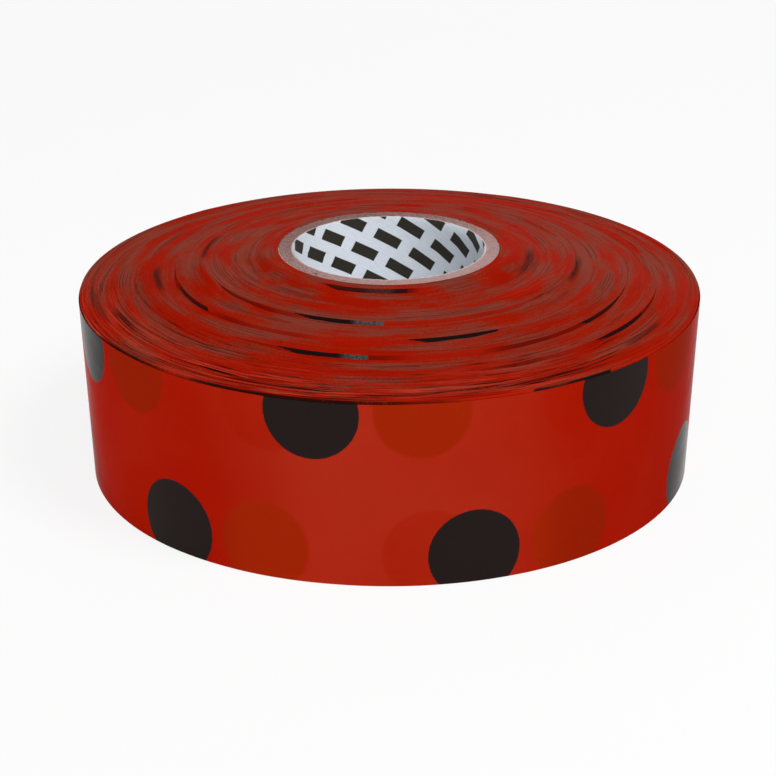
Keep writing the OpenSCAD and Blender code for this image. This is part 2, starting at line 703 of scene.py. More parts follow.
@dataclass(frozen=True)
class WoundEdgeFinish(Finish):
    """The stacked edges of the wound film, with ink where a dot reaches an edge or a step bares the film.

    Attributes:
        bright: Colour of the brightest edges.
        plain: Colour of most edges.
        dull: Colour of dusty edges.
        shade: Colour of ink on the edges.
        bared: Colour of film that a step bares.
        shaded_red: Colour of painted shade on bared film.
        lit: Colour of frayed edges that catch the light.
        gap: Colour of painted shade in the gaps between turns.
        black: Colour of ink on bared film.
        glint: Colour of the painted glint on ink.
        streak_tone: How much the wider streaks add to the tone.
        broad_tone: How much wide patches add to it.
        speck_tone: How much grain adds to it.
        fine_tone: How much thin streaks add to it, and how much more on frayed turns.
        ring_tone: How much single turns add to it, and how much more on the front.
        frayed_tone: What frayed turns add to it.
        to_plain: Tones between which bright edges turn plain.
        to_dull: Tones between which plain edges turn dull.
        dash: Half the length of the ink that a dot leaves on an edge.
        dash_blur: Half the width of its soft ends.
        dashed: Where that ink is left.
        stacks: Bearing and radius of places where the dots of neighbouring turns line up.
        stack_wide: Distances from there at which their ink has ended and is full.
        stack_full: Share of their length that has full ink.
        stack_sway: How far they wander across the turns.
        stacked: Where their ink is left.
        front: Where the turns are looser.
        loose_from: Levels of the wide patches between which the turns there are looser.
        loose_least: How loose they are elsewhere on the front.
        rim_from: Distances from the rim at which the frayed turns begin and are full.
        edge_from: Distances from the rim at which its last riser begins and is full.
        dusty: Where bared film is dusty.
        riser_shade_from: Levels of the riser shade noise between which painted shade on bared film begins and
            is full.
        riser_shade_most: How strong that painted shade is.
        ink_front: Sines of the bearings between which ink on bared film is full.
        ink_back: Its strength elsewhere.
        ink_rim: Its strength elsewhere on the rim's last riser.
        core_reach: Distance from the core over which ink is fainter.
        core_ink: Its strength at the core.
        cover: Share of a riser that ink covers at the start of a dash and further along it.
        cover_at: Where it is further along, as a share of the dash's half length from its middle.
        cover_ragged: How ragged the ink's lower edge is.
        cover_blur: Half the width of that edge, as a share of the riser.
        glint_at: Bearings where a painted glint lies on the ink.
        glint_from: Distances from the core at which the painted glint is weak and full.
        glint_least: How weak it is there.
        glinting: Where the painted glint shows.
        rim_shades: Bearings where painted shade of the gap at the rim lies.
        rim_shaded: Where that painted shade shows.
        seam: Where a line of painted shade for a gap between turns runs in from the rim.
        seam_from: Bearings between which the seam runs inwards.
        seam_in: Distances from the rim at those bearings.
        seam_wide: Distances from the seam's middle at which it has ended and is full.
        seamed: Where the seam shows.
        lit_lines: Where frayed turns catch the light.
        dark_lines: Where painted shade shows in their gaps.
        roughness: Least and greatest roughness.
        shine: Specular level.
        speck_relief: Height of the grain.
        ring_relief: Height of single turns, and how much more on the front.
        relief_depth: Depth that a height of 1 stands for.
    """

    spiral: Spiral
    title: str = "wound_edges"
    slot: str = "tape_winding"
    dots: Dots = Dots()
    bright: Colour = srgb(164, 23, 3)
    plain: Colour = srgb(150, 42, 23)
    dull: Colour = srgb(138, 59, 46)
    shade: Colour = srgb(62, 24, 18)
    bared: Colour = srgb(176, 27, 7)
    shaded_red: Colour = srgb(104, 18, 8)
    lit: Colour = srgb(192, 72, 52)
    # Painted shade for the gaps between turns.
    gap: Colour = srgb(46, 14, 9)
    black: Colour = srgb(30, 22, 21)
    glint: Colour = srgb(112, 116, 112)
    speck: Grain = Grain(3.8, seed=4.6, rough=0.8)
    fine: Streaks = Streaks(3.2, 4.5, seed=2.2, rough=0.6)
    streak: Streaks = Streaks(0.42, 2.8, seed=6.3, rough=0.45)
    broad: Streaks = Streaks(0.25, 1.6, seed=8.4)
    ring: Streaks = Streaks(5.5, 1.2, seed=3.9, rough=0.6)
    riser_shade: Streaks = Streaks(0.2, 1.9, seed=5.2, detail=1.0)
    streak_tone: float = 0.7
    broad_tone: float = 0.3
    speck_tone: float = 0.5
    fine_tone: Span = (0.12, 0.45)
    ring_tone: Span = (0.08, 0.14)
    frayed_tone: float = -0.06
    to_plain: Span = (0.42, 0.5)
    to_dull: Span = (0.48, 0.58)
    dash: float = 7.1
    dash_blur: float = 0.15
    dashed: Patches = Patches((0.47, 0.58), most=0.5, fine=0.3, speck=0.3, streak=0.4)
    stacks: tuple[Span, ...] = ((-10.0, 22.7), (-11.0, 31.0), (-32.0, 46.5), (170.0, 30.4), (-172.0, 37.7),
                                (-155.0, 45.7))
    stack_wide: Span = (0.9, 0.2)
    stack_full: float = 0.3
    stack_sway: float = 2.0
    stacked: Patches = Patches((0.38, 0.6), least=0.4, fine=0.5, speck=0.5)
    front: Sector = Sector(-115.0, 41.0, 37.0)
    loose_from: Span = (0.36, 0.5)
    loose_least: float = 0.3
    rim_from: Span = (10.0, 2.0)
    edge_from: Span = (0.5, 0.1)
    dusty: Patches = Patches((0.4, 0.62), most=0.75, speck=0.4, tone=0.6)
    riser_shade_from: Span = (0.45, 0.58)
    riser_shade_most: float = 0.85
    ink_front: Span = (-0.4, -0.75)
    ink_back: float = 0.86
    ink_rim: float = 0.36
    core_reach: float = 3.0
    core_ink: float = 0.75
    cover: Span = (0.3, 1.3)
    cover_at: float = -0.4
    cover_ragged: float = 0.8
    cover_blur: float = 0.06
    glint_at: Sector = Sector(-94.0, 3.0, 5.0)
    glint_from: Span = (2.0, 8.0)
    glint_least: float = 0.25
    glinting: Patches = Patches((0.32, 0.68), least=0.1, most=0.75, speck=1.0)
    rim_shades: tuple[Sector, Sector] = (Sector(-140.0, 6.0, 6.0), Sector(-106.0, 12.0, 12.0))
    rim_shaded: Patches = Patches((0.71, 0.85), fine=1.0, speck=0.7)
    seam: Sector = Sector(-74.0, 14.0, 14.0)
    seam_from: Span = (-115.0, -74.0)
    seam_in: Span = (0.2, 2.3)
    seam_wide: Span = (0.6, 0.15)
    seamed: Patches = Patches((0.4, 0.52), least=0.2, most=0.95, fine=0.6, speck=0.4)
    lit_lines: Patches = Patches((0.5, 0.43), most=0.8, fine=0.4, ring=0.6)
    dark_lines: Patches = Patches((0.54, 0.6), most=0.75, fine=0.4, ring=0.6)
    roughness: Span = (0.42, 0.55)
    shine: float = 0.0005
    speck_relief: float = 0.6
    ring_relief: Span = (0.3, 0.7)
    relief_depth: float = 0.1

    def off_rim(self, radius: Field, span: Span) -> Field:
        """A smooth step from 0 to 1 between two distances from the rim."""
        return radius.ramp(*(self.spiral.outer_r - distance for distance in span))

    def off_core(self, radius: Field, span: Span, low: float) -> Field:
        """A smooth step from low to 1 between two distances from the core."""
        return radius.ramp(*(self.spiral.inner_r + distance for distance in span), low, 1.0)

    def read(self, tree: bpy.types.NodeTree) -> WoundFace:
        """Reads the place on the wound face, the dots and the noises.

        Args:
            tree: The material's tree.

        Returns:
            What the other methods paint with.
        """
        point = self.place(tree)
        x, y, _ = split(point)
        radius = x.hypot(y)
        angle = y.bearing(x)
        share = ((angle - math.radians(self.spiral.start)) / FULL_TURN).remainder(1.0)
        turns = self.carried(tree, "turn") + share - 1.0
        arc = (self.spiral.film_length(turns) + self.carried(tree, "phase")).wrap(self.dots.pitch)
        ink = arc.size().ramp(self.dash + self.dash_blur, self.dash - self.dash_blur)
        speck = self.speck.at(point)
        fine, streak, broad, ring = (streaks.at(radius, angle)
                                     for streaks in (self.fine, self.streak, self.broad, self.ring))
        near = self.front.at(angle) * broad.ramp(*self.loose_from, self.loose_least, 1.0)
        frayed = self.off_rim(radius, self.rim_from) * near
        tone = streak * self.streak_tone + broad * self.broad_tone + (speck - 0.5) * self.speck_tone
        tone = tone + (fine - 0.5) * (frayed * self.fine_tone[1] + self.fine_tone[0])
        tone = tone + (ring - 0.5) * (near * self.ring_tone[1] + self.ring_tone[0])
        tone = tone + frayed * self.frayed_tone
        return WoundFace(radius, angle, arc, ink, self.carried(tree, "riser"), self.carried(tree, "height"),
                         speck, fine, streak, broad, ring, near, frayed, tone)

    def edges(self, face: WoundFace) -> Field:
        """Colours the film's edges, with the ink of the dots that reach them.

        Args:
            face: The point of the wound face.

        Returns:
            The edges' colour.
        """
        colour = mix(face.tone.ramp(*self.to_plain), self.bright, self.plain)
        colour = mix(face.tone.ramp(*self.to_dull), colour, self.dull)
        colour = mix(face.ink * self.dashed.at(face), colour, self.shade)
        stacked = self.stacked.at(face)
        swayed = face.radius + (face.broad - 0.5) * self.stack_sway
        for bearing, radius in self.stacks:
            half = math.degrees(self.dash / radius)
            stack = Sector(bearing, half * self.stack_full, half * (1 - self.stack_full)).at(face.angle)
            stack = stack * (swayed - radius).size().ramp(*self.stack_wide)
            colour = mix(stack * stacked, colour, self.shade)
        return colour

    def ink_left(self, face: WoundFace, edge: Field) -> Field:
        """Strength of a dot's ink on bared film.

        Args:
            face: The point of the wound face.
            edge: 1 on the rim's last riser, else 0.

        Returns:
            The strength, from 0 to 1.
        """
        elsewhere = edge * (self.ink_rim - self.ink_back) + self.ink_back
        dense = face.angle.sine().ramp(*self.ink_front, elsewhere, 1.0)
        dense = dense * self.off_core(face.radius, (0.0, self.core_reach), self.core_ink)
        cover = face.arc.ramp(-self.dash, self.dash * self.cover_at, *self.cover)
        cover = cover + (face.fine + face.speck - 1.0) * self.cover_ragged
        return face.ink * dense * (cover + face.height - 1.0).ramp(-self.cover_blur, self.cover_blur)

    def bared_film(self, face: WoundFace) -> Field:
        """Colours the film that a step bares, with its dots, painted shade on stretches of the risers, a
        painted glint on the ink and painted shade of the gap at the rim.

        Args:
            face: The point of the wound face.

        Returns:
            The film's colour.
        """
        film = mix(self.dusty.at(face), self.bared, self.plain)
        # Painted shade: darker red on stretches of the risers.
        riser_shade = self.riser_shade.at(face.radius, face.angle).ramp(*self.riser_shade_from, 0.0, self.riser_shade_most)
        film = mix(riser_shade, film, self.shaded_red)
        # Painted glint: grey on the ink at the middle of the front.
        glinting = self.glint_at.at(face.angle) * self.off_core(face.radius, self.glint_from, self.glint_least)
        ink = mix(glinting * self.glinting.at(face), self.black, self.glint)
        edge = self.off_rim(face.radius, self.edge_from)
        film = mix(self.ink_left(face, edge), film, ink)
        # Painted shade of the gap at the rim, on its last riser.
        rim_shades = total(rim_shade.at(face.angle) for rim_shade in self.rim_shades)
        return mix(edge * rim_shades * self.rim_shaded.at(face), film, self.gap)

    def fray(self, face: WoundFace, colour: Field) -> Field:
        """Adds painted shade for the gap behind the rim and the thin lines of the frayed turns, which are
        painted highlights and painted shade in their gaps.

        Args:
            face: The point of the wound face.
            colour: The colour so far.

        Returns:
            The colour with both.
        """
        # Painted shade: a dark line for the gap between the last turns, which runs further in from the rim at
        # one side of the front.
        inward = face.angle.ramp(*(math.radians(bearing) for bearing in self.seam_from), *self.seam_in)
        seam = (face.radius + inward - self.spiral.outer_r).size().ramp(*self.seam_wide)
        colour = mix(seam * self.seam.at(face.angle) * self.seamed.at(face), colour, self.gap)
        # Painted highlights: light lines on frayed turns where they catch the light.
        colour = mix(face.frayed * self.lit_lines.at(face), colour, self.lit)
        # Painted shade in the gaps of the frayed turns.
        return mix(face.frayed * self.dark_lines.at(face), colour, self.gap)

    def paint(self, tree: bpy.types.NodeTree, shader: bpy.types.Node) -> None:
        """Paints the edges, the bared film between them and the frayed rim.

        Args:
            tree: The material's tree.
            shader: Its surface shader.
        """
        face = self.read(tree)
        colour = self.fray(face, mix(face.riser, self.edges(face), self.bared_film(face)))
        turns = face.ring * (face.near * self.ring_relief[1] + self.ring_relief[0])
        relief = face.fine * face.frayed + face.speck * self.speck_relief + turns
        self.surface(shader, tree, Base_Color=colour, Roughness=face.speck.stretched(*self.roughness),
                     Specular_IOR_Level=self.shine, Normal=self.bump(relief, self.relief_depth))


@dataclass(frozen=True)
class BoardFinish(Finish):
    """Raw pinkish grey board with cut fibres and flecks, lighter towards one bearing with painted light.

    Attributes:
        fibre_share: Share of the fibres in the board's colour, beside the flecks.
        light_from: Levels of that blend between which the board turns light.
        painted_light_at: Bearing of the painted light, where the board is lightest.
        painted_light_gain: How much the painted light lightens the board there.
        roughness: Least and greatest roughness.
        shine: Specular level.
        fleck_relief: Height of the flecks, as a share of the fibres'.
        relief_depth: Depth of the fibres.
    """

    title: str = "raw_board"
    slot: str = "core_board"
    # Both colours are grey board with a pink tint that is painted reflection of the red tape.
    light: Colour = srgb(182, 148, 144)
    dark: Colour = srgb(122, 90, 86)
    fibre: Grain = Grain(2.6, seed=1.9, detail=4.0, rough=0.65)
    fleck: Grain = Grain(7.0, seed=6.2)
    fibre_share: float = 0.6
    light_from: Span = (0.34, 0.66)
    painted_light_at: float = -55.0
    painted_light_gain: float = 0.12
    roughness: Span = (0.85, 0.95)
    shine: float = 0.15
    fleck_relief: float = 0.5
    relief_depth: float = 0.15

    def paint(self, tree: bpy.types.NodeTree, shader: bpy.types.Node) -> None:
        """Paints fibres and flecks.

        Args:
            tree: The material's tree.
            shader: Its surface shader.
        """
        point = self.place(tree)
        fibre = self.fibre.at(point)
        fleck = self.fleck.at(point)
        x, y, _ = split(point)
        # Painted light: the board is lighter towards one bearing and darker away from it.
        painted_light = (y.bearing(x) - math.radians(self.painted_light_at)).cosine() * self.painted_light_gain
        blend = fibre * self.fibre_share + fleck * (1 - self.fibre_share) + painted_light
        relief = fibre + fleck * self.fleck_relief
        self.surface(shader, tree, Base_Color=mix(blend.ramp(*self.light_from), self.dark, self.light),
                     Roughness=fibre.stretched(*self.roughness), Specular_IOR_Level=self.shine,
                     Normal=self.bump(relief, self.relief_depth))


@dataclass(frozen=True)
class LinerFinish(Finish):
    """White liner paper with a plain print of slanted bars that follow its spiral.

    Attributes:
        cut: Colour of the paper's cut edge and its back.
        white_from: Levels of the paper's grain between which it turns from shaded to white.
        radius: Radius of the printed face.
        cut_from: Distances past that face at which the print ends and the cut colour is full.
        slant: Angle of the rows of bars, up from level.
        row: Distance from row to row.
        row_shift: How far each row lies along the last.
        bar_long: Length of a bar.
        bar_wide: Width of a bar.
        pitch: Distance from bar to bar.
        ink_edge: Half the width of the ink's edge.
        roughness: Least and greatest roughness.
        shine: Specular level.
        relief_depth: Depth of the paper's grain.
    """

    title: str = "printed_liner"
    slot: str = "core_liner"
    white: Colour = srgb(244, 249, 255)
    shade: Colour = srgb(228, 235, 246)
    ink: Colour = srgb(46, 42, 34)
    cut: Colour = srgb(196, 172, 168)
    grain: Grain = Grain(5.0, seed=2.8, detail=3.0, rough=0.6)
    thread: Strands = Strands(0.5, 6.0, seed=9.1)
    white_from: Span = (0.35, 0.65)
    radius: float = BORE_R
    cut_from: Span = (0.01, 0.03)
    slant: float = 29.0
    row: float = 3.7
    row_shift: float = 2.5
    bar_long: float = 4.6
    bar_wide: float = 1.9
    pitch: float = 6.8
    ink_edge: float = 0.06
    roughness: Span = (0.6, 0.75)
    shine: float = 0.25
    relief_depth: float = 0.03

    def paint(self, tree: bpy.types.NodeTree, shader: bpy.types.Node) -> None:
        """Paints paper grain, then the bars.

        Args:
            tree: The material's tree.
            shader: Its surface shader.
        """
        point = self.place(tree)
        x, y, z = split(point)
        arc = y.bearing(x) * self.radius
        lean = math.radians(self.slant)
        along = arc * math.cos(lean) + z * math.sin(lean)
        across = z * math.cos(lean) - arc * math.sin(lean)
        rows = (across / self.row).floor()
        side = (across.remainder(self.row) - self.row / 2).size() - self.bar_wide / 2
        end = (along + rows * self.row_shift).wrap(self.pitch).size() - self.bar_long / 2
        grain = self.grain.at(point)
        thread = self.thread.at(along, across)
        colour = mix(((grain + thread) / 2).ramp(*self.white_from), self.shade, self.white)
        bar = side.ramp(self.ink_edge, -self.ink_edge) * end.ramp(self.ink_edge, -self.ink_edge)
        colour = mix(bar, colour, self.ink)
        past_face = x.hypot(y).ramp(*(self.radius + depth for depth in self.cut_from))
        colour = mix(past_face, colour, self.cut)
        self.surface(shader, tree, Base_Color=colour, Roughness=grain.stretched(*self.roughness),
                     Specular_IOR_Level=self.shine, Normal=self.bump(grain + thread, self.relief_depth))


@dataclass(frozen=True)
class StripFinish(Finish):
    """Clear adhesive tape, a little yellow, with trapped air.

    Attributes:
        clear_from: Levels of the clouds between which the tape turns from cloudy to clear.
        roughness: Least and greatest roughness.
    """

    title: str = "clear_strip"
    slot: str = "start_strip"
    clear: Colour = srgb(222, 212, 180)
    cloudy: Colour = srgb(196, 184, 150)
    cloud: Grain = Grain(1.2, seed=1.1, detail=3.0)
    clear_from: Span = (0.4, 0.6)
    roughness: Span = (0.3, 0.5)

    def paint(self, tree: bpy.types.NodeTree, shader: bpy.types.Node) -> None:
        """Paints trapped air as clouds.

        Args:
            tree: The material's tree.
            shader: Its surface shader.
        """
        cloud = self.cloud.at(self.place(tree))
        self.surface(shader, tree, Base_Color=mix(cloud.ramp(*self.clear_from), self.cloudy, self.clear),
                     Roughness=cloud.stretched(*self.roughness))


@dataclass(frozen=True)
class FloorFinish(Finish):
    """White paper sweep that stays white to the camera and keeps the roll's shadow.

    Attributes:
        white: Colour of the paper.
        shade: Colour of its faint clouds.
        light: Colour of the light that the camera and reflections see.
        glow: Share of that light.
        roughness: The paper's roughness.
        shine: Its specular level.
    """

    title: str = "studio_floor"
    white: Colour = (0.9, 0.9, 0.9)
    shade: Colour = (0.88, 0.88, 0.88)
    light: Colour = (1.0, 1.0, 1.0)
    glow: float = 0.86
    cloud: Grain = Grain(0.05, seed=1.0)
    roughness: float = 0.9
    shine: float = 0.0

    def paint(self, tree: bpy.types.NodeTree, shader: bpy.types.Node) -> None:
        """Mixes plain white paper with white light for what the camera and reflections see.

        Args:
            tree: The material's tree.
            shader: Its surface shader.
        """
        colour = mix(self.cloud.at(self.place(tree)), self.white, self.shade)
        self.surface(shader, tree, Base_Color=colour, Roughness=self.roughness, Specular_IOR_Level=self.shine)
        light = add_node(tree, "ShaderNodeEmission", Color=self.light, Strength=1.0)
        blend = tree.nodes.new("ShaderNodeMixShader")
        feed(tree, blend.inputs[0], seen_rays(tree) * self.glow)
        tree.links.new(shader.outputs[0], blend.inputs[1])
        tree.links.new(light.socket, blend.inputs[2])
        tree.links.new(blend.outputs[0], tree.nodes["Material Output"].inputs[0])


class Recipe:
    """A Geometry Nodes tree with named inputs, which makes one mesh."""

    def __init__(self, title: str) -> None:
        """Starts an empty tree with one geometry output.

        Args:
            title: The tree's name.
        """
        self.title = title
        self.tree = bpy.data.node_groups.new(title, "GeometryNodeTree")
        self.tree.interface.new_socket("Geometry", in_out="OUTPUT", socket_type="NodeSocketGeometry")
        self.entry = self.tree.nodes.new("NodeGroupInput")
        self.exit = self.tree.nodes.new("NodeGroupOutput")
        self.values: dict[str, object] = {}

    def given(self, title: str, value: object) -> Field:
        """Adds a named input.

        Args:
            title: The input's name.
            value: A whole number, a number or a material.

        Returns:
            The input's value inside the tree.
        """
        kind = {int: "NodeSocketInt", float: "NodeSocketFloat"}.get(type(value), "NodeSocketMaterial")
        socket = self.tree.interface.new_socket(title, in_out="INPUT", socket_type=kind)
        self.values[socket.identifier] = value
        return Field(self.tree, self.entry.outputs[title])

    def node(self, kind: str, output: int = 0, **inputs: object) -> Field:
        """Adds a node to the tree, as add_node does."""
        return add_node(self.tree, kind, output, **inputs)

    def store(self, shape: Field, name: str, domain: Domain, value: Field) -> Field:
        """Writes a number on each point or face under a name."""
        return self.node("GeometryNodeStoreNamedAttribute", data_type="FLOAT", domain=domain.value,
                         Geometry=shape, Name=name, Value=value)

    def make(self, shape: Field, finish: Finish) -> bpy.types.Mesh:
        """Ends the tree and turns its result into a plain mesh.

        Args:
            shape: The geometry to keep.
            finish: Its finish.

        Returns:
            The mesh.
        """
        coat = self.given("Finish", finish.material())
        whole = self.node("GeometryNodeRealizeInstances", Geometry=shape)
        whole = self.node("GeometryNodeSetMaterial", Geometry=whole, Material=coat)
        self.tree.links.new(whole.socket, self.exit.inputs[0])
        holder = bpy.data.objects.new(self.title, bpy.data.meshes.new(self.title))
        bpy.context.scene.collection.objects.link(holder)
        modifier = holder.modifiers.new(self.title, "NODES")
        modifier.node_group = self.tree
        for identifier, value in self.values.items():
            modifier[identifier] = value
        ready = holder.evaluated_get(bpy.context.evaluated_depsgraph_get())
        mesh = bpy.data.meshes.new_from_object(ready)
        bpy.data.objects.remove(holder)
        return mesh


def mesh_of(name: str, points: np.ndarray, faces: Sequence[Sequence[int]]) -> bpy.types.Mesh:
    """Makes a closed mesh whose faces point outwards.

    Args:
        name: The mesh's name.
        points: Points in millimetres, one row each.
        faces: Point numbers of each face.

    Returns:
        The mesh, in metres.
    """
    mesh = bpy.data.meshes.new(name)
    mesh.from_pydata((points * MM).tolist(), [], [list(f) for f in faces])
    shape = bmesh.new()
    shape.from_mesh(mesh)
    bmesh.ops.recalc_face_normals(shape, faces=shape.faces)
    shape.to_mesh(mesh)
    shape.free()
    return mesh


def smooth(mesh: bpy.types.Mesh, crease: float = 35.0) -> None:
    """Shades a mesh smoothly, apart from edges sharper than an angle in degrees."""
    mesh.shade_smooth()
    mesh.set_sharp_from_angle(angle=math.radians(crease))


def show(name: str, mesh: bpy.types.Mesh, finish: Finish, body: Optional[Body],
         node: str) -> bpy.types.Object:
    """Puts a finished mesh in the scene as a piece.

    Args:
        name: The piece's name.
        mesh: Its mesh, in place.
        finish: Its finish.
        body: The body it rides on, or None for a piece that rides on no body.
        node: The CAD node that it stands for.

    Returns:
        The piece.
    """
    if not mesh.materials:
        mesh.materials.append(finish.material())
    piece = bpy.data.objects.new(name, mesh)
    bpy.context.scene.collection.objects.link(piece)
    if body is not None:
        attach(piece, body.value)
    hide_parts(node)
    log.info("%s: %d faces", name, len(mesh.polygons))
    return piece


def shell_faces(columns: int, rows: int) -> list[tuple[int, int, int, int]]:
    """Faces of a thin closed sheet whose front and back points are two equal grids, one after the other.

    Args:
        columns: Points along the sheet.
        rows: Points across the sheet.

    Returns:
        Faces of the front, the back and the rim between them.
    """
    def at(side: int, column: int, row: int) -> int:
        """Number of a point."""
        return (side * columns + column) * rows + row

    faces = []
    for side in (0, 1):
        faces += [(at(side, c, r), at(side, c + 1, r), at(side, c + 1, r + 1), at(side, c, r + 1))
                  for c in range(columns - 1) for r in range(rows - 1)]
    for r in (0, rows - 1):
        faces += [(at(0, c, r), at(0, c + 1, r), at(1, c + 1, r), at(1, c, r)) for c in range(columns - 1)]
    for c in (0, columns - 1):
        faces += [(at(0, c, r), at(0, c, r + 1), at(1, c, r + 1), at(1, c, r)) for r in range(rows - 1)]
    return faces


def sheet_mesh(name: str, front: np.ndarray, back: np.ndarray) -> bpy.types.Mesh:
    """Makes a thin closed sheet from the points of its two faces.

    Args:
        name: The mesh's name.
        front: Points of the front face in millimetres, as columns of rows.
        back: Points of the back face, in the same order.

    Returns:
        The sheet's mesh.
    """
    columns, rows, _ = front.shape
    points = np.concatenate([front.reshape(-1, 3), back.reshape(-1, 3)])
    mesh = mesh_of(name, points, shell_faces(columns, rows))
    smooth(mesh)
    return mesh


def round_sheet(name: str, angle: np.ndarray, height: np.ndarray, outer: float,
                inner: float) -> bpy.types.Mesh:
    """Makes a closed sheet that follows a cylinder around the core's axis.

    Args:
        name: The mesh's name.
        angle: Bearing of each point in radians, as columns of rows.
        height: Height of each point in millimetres.
        outer: Radius of the outer face.
        inner: Radius of the inner face.

    Returns:
        The sheet's mesh.
    """
    faces = [np.stack([r * np.cos(angle), r * np.sin(angle), height], -1) for r in (outer, inner)]
    return sheet_mesh(name, *faces)


@dataclass
class PaperCore:
    """The spiral-wound core: a white liner and four board plies, each with an open butt seam.

    Attributes:
        ply_angle: Angle of the plies' winding, up from level.
        seam_gap: Butt gap between two edges of one ply.
        seams: Bearing of each seam at the core's lower end, the liner's first.
        around: Pieces around a ply.
        up: Pieces up a ply.
        rag: How far the cut ends wander.
        rag_seed: Picks the liner's wander; each ply has the next one.
    """

    bore_r: float = BORE_R
    liner_t: float = 0.25
    ply_t: float = 0.5
    glue_t: float = 0.02
    base: float = CORE_RISE
    length: float = TAPE_W
    ply_angle: float = 30.0
    seam_gap: float = 0.3
    seams: tuple[float, ...] = (40.0, 165.0, 290.0, 55.0, 180.0)
    around: int = 192
    up: int = 16
    rag: float = 0.03
    rag_seed: int = 11

    def ply_in(self, number: int) -> float:
        """Works out the inner radius of a ply.

        Args:
            number: 0 for the liner, 1 or more for the board plies.

        Returns:
            The radius.
        """
        if number == 0:
            return self.bore_r
        return self.bore_r + self.liner_t + self.glue_t + (number - 1) * (self.ply_t + self.glue_t)

    def ply_mesh(self, number: int) -> bpy.types.Mesh:
        """Builds one ply as a strip that winds up the core.

        Args:
            number: 0 for the liner, 1 or more for the board plies.

        Returns:
            The ply's mesh.
        """
        thick = self.ply_t if number else self.liner_t
        inner = self.ply_in(number)
        climb = math.radians(self.ply_angle)
        gap = self.seam_gap / math.sin(climb) / inner
        twist = self.length / ((inner + thick / 2) * math.tan(climb))
        u, v = np.meshgrid(np.linspace(0, 1, self.around + 1), np.linspace(0, 1, self.up + 1), indexing="ij")
        angle = math.radians(self.seams[number]) + twist * v + gap / 2 + u * (FULL_TURN - gap)
        wander = np.random.default_rng(number + self.rag_seed).normal(0, self.rag, u.shape)
        ends = (v == 0).astype(float) - (v == 1)
        height = self.base + v * self.length + wander * ends
        return round_sheet(f"core_{number}", angle, height, inner + thick, inner)

    def build(self) -> None:
        """Builds the liner and the plies."""
        show("liner_paper", self.ply_mesh(0), LinerFinish(), Body.ROLL, "core_liner")
        for number in range(1, len(self.seams)):
            show(f"board_ply_{number}", self.ply_mesh(number), BoardFinish(), Body.ROLL, f"core_ply_{number}")


@dataclass
class StartStrip:
    """The adhesive strip that holds the film's inner end on the core, under the wound tape.

    Attributes:
        wide: Width around the core.
        at: Bearing of its middle.
        around: Pieces around the core.
        up: Pieces up the core.
    """

    inner_r: float = 17.985
    outer_r: float = 18.025
    base: float = CORE_RISE
    length: float = TAPE_W
    wide: float = 12.0
    at: float = 200.0
    around: int = 12
    up: int = 6

    def build(self) -> None:
        """Builds the strip."""
        half = self.wide / 2 / self.inner_r
        turned, height = np.meshgrid(np.linspace(-half, half, self.around + 1),
                                     np.linspace(self.base, self.base + self.length, self.up + 1),
                                     indexing="ij")
        mesh = round_sheet("start_tape", turned + math.radians(self.at), height, self.outer_r, self.inner_r)
        show("start_tape", mesh, StripFinish(), Body.ROLL, "start_strip")


@dataclass(frozen=True)
class Step:
    """A place where turns have slid on each other, so that the wound face steps down.

    Attributes:
        at: Share of the wound depth, from the core to the rim.
        dash_at: Bearing of a dot on the film that the step bares.
        sharp_at: Bearing where the step is sharpest.
        sharp_from: Cosine of the angle from there at which the step is no sharper than elsewhere.
    """

    at: float
    dash_at: float
    sharp_at: float
    sharp_from: float


